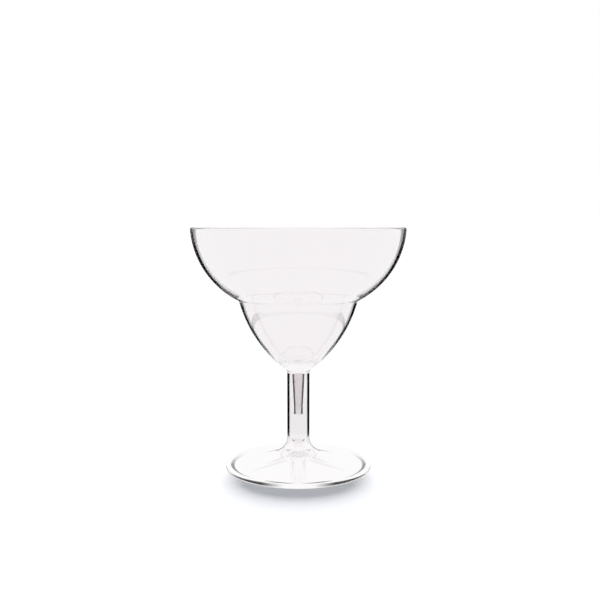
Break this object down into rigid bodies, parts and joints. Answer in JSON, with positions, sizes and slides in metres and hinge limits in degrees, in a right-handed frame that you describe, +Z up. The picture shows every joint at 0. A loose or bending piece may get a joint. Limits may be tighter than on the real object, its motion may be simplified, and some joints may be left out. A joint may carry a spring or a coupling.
{
  "type": "margarita glass",
  "caption": "Clear push-together margarita glass: a stepped, wide-lipped bowl whose tapered peg seats in the socket of a stemmed conical foot.",
  "frame": {"origin": "centre of the foot's standing ring, on the table", "axes": "+Z up along the axis that stem and bowl share; the glass is the same all round, so +X and +Y are free"},
  "size_m": [0.112, 0.112, 0.127],
  "materials": {
    "clear_bowl": "polished clear moulding",
    "clear_base": "polished clear moulding"
  },
  "bodies": {
    "base": {"base": "clear_base"},
    "bowl": {"bowl": "clear_bowl"}
  },
  "joints": [
    {"name": "bowl_lift", "type": "slide", "parent": "base", "child": "bowl", "axis": [0, 0, 1], "range_m": [0, 0.03]}
  ]
}
